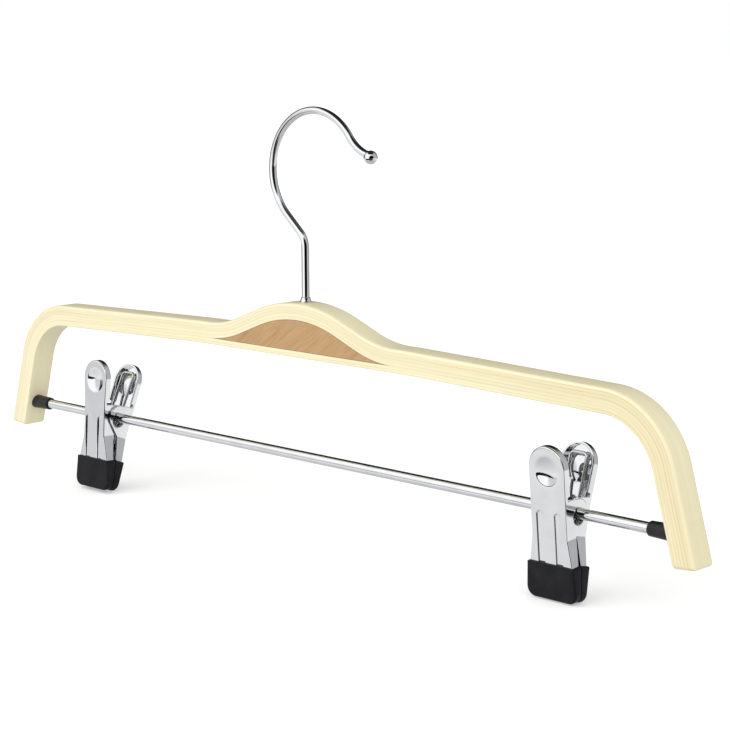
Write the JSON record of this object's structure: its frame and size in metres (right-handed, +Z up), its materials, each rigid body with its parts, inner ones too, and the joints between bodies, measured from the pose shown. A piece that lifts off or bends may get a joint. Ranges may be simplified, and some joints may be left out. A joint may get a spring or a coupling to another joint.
{
  "type": "skirt hanger",
  "caption": "Bent laminated wood skirt hanger with a swivel wire hook, a steel bar and sliding spring clips with soft dipped tips.",
  "frame": {"origin": "where the underside of the hook's crown bears on the rail", "axes": "+X along the hanger towards the hook's mouth, -Y the front, +Z up"},
  "size_m": [0.3793, 0.0263, 0.1715],
  "materials": {
    "pale_wood": "clear satin lacquer",
    "core_wood": "clear satin lacquer",
    "chrome": "bright plated",
    "spring_steel": "bright plated",
    "soft_vinyl": "dipped, soft gloss",
    "sleeve_plastic": "moulded satin"
  },
  "bodies": {
    "hook": {"hook": "chrome"},
    "frame": {"hook_ferrule": "chrome", "hook_washer": "chrome", "core_block": "core_wood", "upper_veneer_1": "pale_wood", "upper_veneer_2": "pale_wood", "upper_veneer_3": "pale_wood", "upper_veneer_4": "pale_wood", "upper_veneer_5": "pale_wood", "lower_veneer_1": "pale_wood", "lower_veneer_2": "pale_wood", "bar": "chrome", "left_end_sleeve": "sleeve_plastic", "right_end_sleeve": "sleeve_plastic"},
    "left_spring": {"left_spring": "spring_steel"},
    "left_outer_jaw": {"left_outer_jaw": "chrome", "left_outer_tip": "soft_vinyl"},
    "left_inner_jaw": {"left_inner_jaw": "chrome", "left_inner_tip": "soft_vinyl"},
    "right_spring": {"right_spring": "spring_steel"},
    "right_outer_jaw": {"right_outer_jaw": "chrome", "right_outer_tip": "soft_vinyl"},
    "right_inner_jaw": {"right_inner_jaw": "chrome", "right_inner_tip": "soft_vinyl"}
  },
  "joints": [
    {"name": "hook_swivel", "type": "hinge", "parent": "hook", "child": "frame", "pos_m": [-0.00567, 0, -0.086], "axis": [0, 0, 1], "continuous": true},
    {"name": "left_clip_slide", "type": "slide", "parent": "frame", "child": "left_spring", "axis": [1, 0, 0], "range_m": [-0.02712, 0.11389]},
    {"name": "left_clip_swing", "type": "hinge", "parent": "left_spring", "child": "left_outer_jaw", "pos_m": [-0.13256, 0, -0.13709], "axis": [1, 0, 0], "continuous": true, "deforming": ["left_spring"]},
    {"name": "left_clip_open", "type": "hinge", "parent": "left_outer_jaw", "child": "left_inner_jaw", "pos_m": [-0.13256, 0, -0.13709], "axis": [-1, 0, 0], "range_deg": [0, 30], "stiffness_Nm_per_rad": 0.5, "springref_deg": -25.78, "deforming": ["left_spring"]},
    {"name": "right_clip_slide", "type": "slide", "parent": "frame", "child": "right_spring", "axis": [1, 0, 0], "range_m": [-0.11578, 0.02522]},
    {"name": "right_clip_swing", "type": "hinge", "parent": "right_spring", "child": "right_outer_jaw", "pos_m": [0.12311, 0, -0.13709], "axis": [1, 0, 0], "continuous": true, "deforming": ["right_spring"]},
    {"name": "right_clip_open", "type": "hinge", "parent": "right_outer_jaw", "child": "right_inner_jaw", "pos_m": [0.12311, 0, -0.13709], "axis": [1, 0, 0], "range_deg": [0, 30], "stiffness_Nm_per_rad": 0.5, "springref_deg": -25.78, "deforming": ["right_spring"]}
  ]
}
